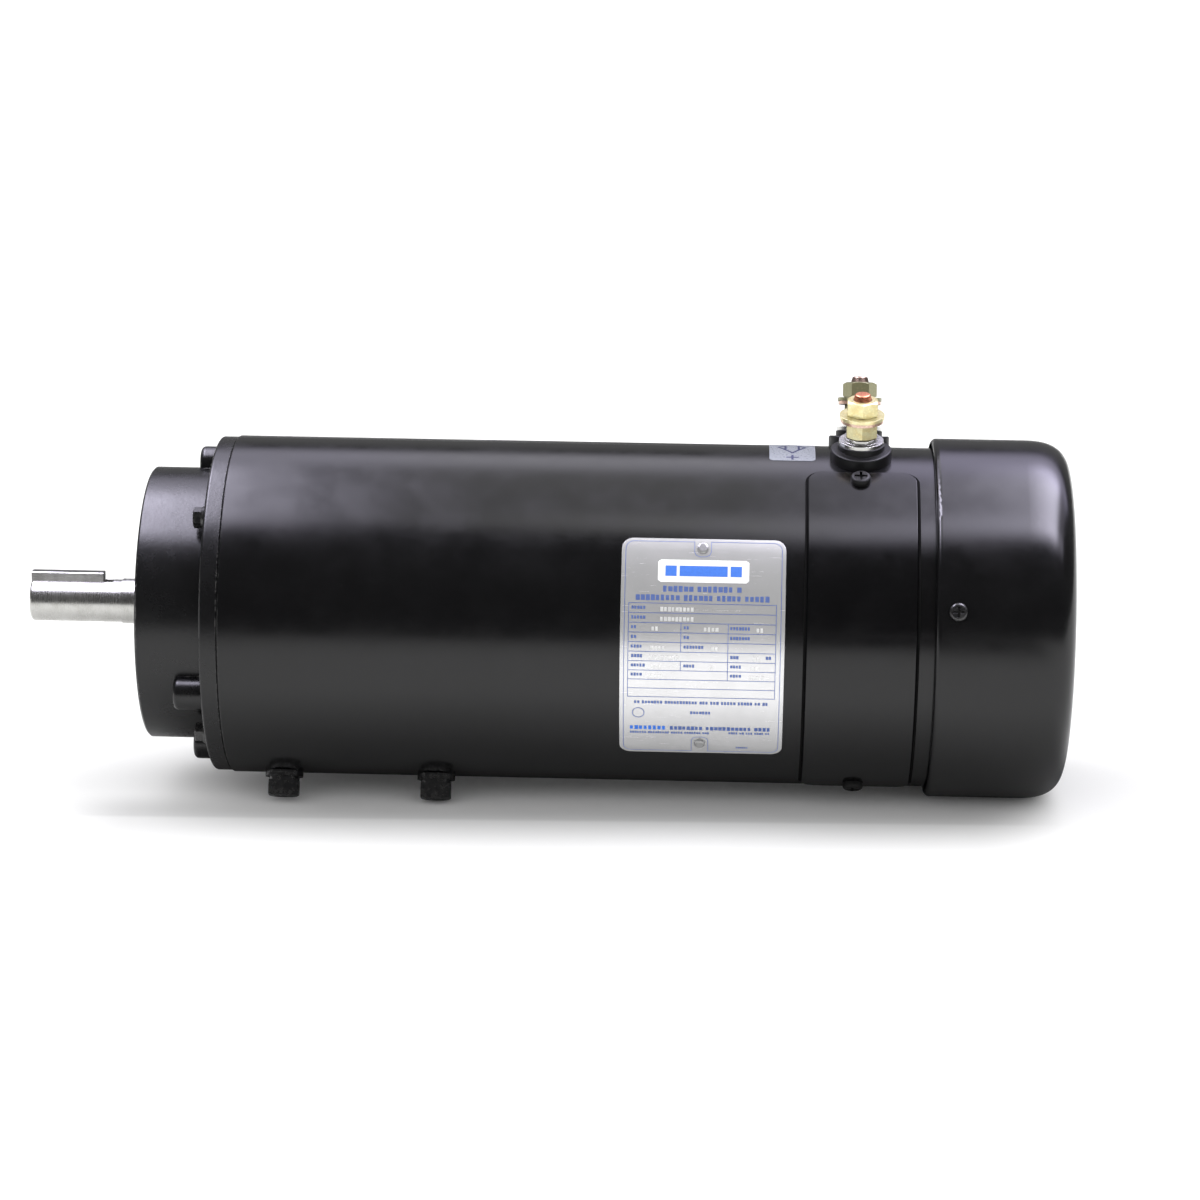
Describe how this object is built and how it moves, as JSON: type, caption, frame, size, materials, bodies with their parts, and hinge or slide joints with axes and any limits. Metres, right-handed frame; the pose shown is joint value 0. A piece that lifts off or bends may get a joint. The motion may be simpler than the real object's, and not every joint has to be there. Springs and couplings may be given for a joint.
{
  "type": "brushed dc motor",
  "caption": "Fan-cooled brushed DC motor: flanged face with spigot and keyed shaft, black steel tube, brush covers, stud terminals, domed fan cover and bolts for a foot.",
  "frame": {"origin": "centre of the mounting face, where its plane meets the shaft axis", "axes": "the shaft leaves towards -X, the body runs towards +X to the fan cover, the terminals are on top at +Z, and the nameplate is on the -Y side"},
  "size_m": [0.458, 0.1585, 0.186],
  "materials": {
    "black_paint": "satin black enamel on steel and cast parts",
    "black_fastener": "black oxide and oil",
    "ground_steel": "ground, bare",
    "bearing_steel": "polished",
    "spring_steel": "rolled",
    "lamination_steel": "stamped and varnished",
    "ferrite": "fired and ground",
    "winding_copper": "enamelled and varnished",
    "bare_copper": "bare",
    "stud_copper": "bare, lightly tarnished",
    "holder_brass": "stamped",
    "zinc_yellow": "yellow chromate over zinc",
    "zinc_clear": "clear zinc",
    "carbon": "pressed carbon",
    "phenolic": "moulded",
    "black_moulding": "moulded, satin",
    "fan_plastic": "moulded",
    "rubber": "moulded",
    "nameplate_metal": "brushed and printed",
    "decal_film": "printed film"
  },
  "bodies": {
    "housing": {"bearing_preload_spring": "spring_steel", "bearing_seals": "rubber", "brush_cover_gaskets": "rubber", "brush_cover_left": "black_paint", "brush_cover_right": "black_paint", "brush_cover_screws": "black_fastener", "brush_holders": "holder_brass", "brush_ring": "phenolic", "brush_ring_screws": "zinc_clear", "bus_straps": "bare_copper", "fan_cover": "black_paint", "fan_cover_screws": "black_fastener", "foot_bolts": "black_fastener", "foot_flat_washers": "black_fastener", "foot_lock_washers": "black_fastener", "frame_tube": "black_paint", "front_bearing_outer_race": "bearing_steel", "front_shield": "black_paint", "front_shield_screws": "black_fastener", "magnets": "ferrite", "nameplate": "nameplate_metal", "nameplate_rivets": "nameplate_metal", "polarity_decal": "decal_film", "rear_bearing_outer_race": "bearing_steel", "rear_shield": "black_paint", "rear_shield_screws": "black_fastener", "shaft_seal": "rubber", "terminal_base_washers": "zinc_clear", "terminal_bushes": "black_moulding", "terminal_insulators": "black_moulding", "terminal_lock_washers": "zinc_yellow", "terminal_lug_washers": "zinc_yellow", "terminal_nuts": "zinc_yellow", "terminal_studs": "stud_copper"},
    "rotor": {"shaft": "ground_steel", "shaft_key": "ground_steel", "armature_core": "lamination_steel", "armature_windings": "winding_copper", "commutator_hub": "phenolic", "commutator_bars": "bare_copper", "fan": "fan_plastic", "fan_retaining_ring": "spring_steel", "front_bearing_inner_race": "bearing_steel", "rear_bearing_inner_race": "bearing_steel"},
    "front_bearing_rolling_set": {"front_bearing_balls": "bearing_steel", "front_bearing_cage": "spring_steel"},
    "rear_bearing_rolling_set": {"rear_bearing_balls": "bearing_steel", "rear_bearing_cage": "spring_steel"},
    "brush_set_upper_right": {"brush_upper_right": "carbon", "brush_spring_upper_right": "spring_steel", "brush_lead_upper_right": "bare_copper"},
    "brush_set_upper_left": {"brush_upper_left": "carbon", "brush_spring_upper_left": "spring_steel", "brush_lead_upper_left": "bare_copper"},
    "brush_set_lower_left": {"brush_lower_left": "carbon", "brush_spring_lower_left": "spring_steel", "brush_lead_lower_left": "bare_copper"},
    "brush_set_lower_right": {"brush_lower_right": "carbon", "brush_spring_lower_right": "spring_steel", "brush_lead_lower_right": "bare_copper"}
  },
  "joints": [
    {"name": "rotor_spin", "type": "hinge", "parent": "housing", "child": "rotor", "pos_m": [0, 0, 0], "axis": [1, 0, 0], "continuous": true},
    {"name": "front_bearing_roll", "type": "hinge", "parent": "housing", "child": "front_bearing_rolling_set", "pos_m": [0.015, 0, 0], "axis": [1, 0, 0], "continuous": true},
    {"name": "rear_bearing_roll", "type": "hinge", "parent": "housing", "child": "rear_bearing_rolling_set", "pos_m": [0.352, 0, 0], "axis": [1, 0, 0], "continuous": true},
    {"name": "brush_lift_upper_right", "type": "slide", "parent": "housing", "child": "brush_set_upper_right", "axis": [0, -0.7071, 0.7071], "range_m": [0, 0.0045], "stiffness_N_per_m": 40, "springref_m": -0.15, "deforming": ["brush_lead_upper_right"]},
    {"name": "brush_lift_upper_left", "type": "slide", "parent": "housing", "child": "brush_set_upper_left", "axis": [0, 0.7071, 0.7071], "range_m": [0, 0.0045], "stiffness_N_per_m": 40, "springref_m": -0.15, "deforming": ["brush_lead_upper_left"]},
    {"name": "brush_lift_lower_left", "type": "slide", "parent": "housing", "child": "brush_set_lower_left", "axis": [0, 0.7071, -0.7071], "range_m": [0, 0.0045], "stiffness_N_per_m": 40, "springref_m": -0.15, "deforming": ["brush_lead_lower_left"]},
    {"name": "brush_lift_lower_right", "type": "slide", "parent": "housing", "child": "brush_set_lower_right", "axis": [0, -0.7071, -0.7071], "range_m": [0, 0.0045], "stiffness_N_per_m": 40, "springref_m": -0.15, "deforming": ["brush_lead_lower_right"]}
  ],
  "couplings": [
    {"joint": "front_bearing_roll", "follows": "rotor_spin", "ratio": 0.38149},
    {"joint": "rear_bearing_roll", "follows": "rotor_spin", "ratio": 0.38175}
  ]
}
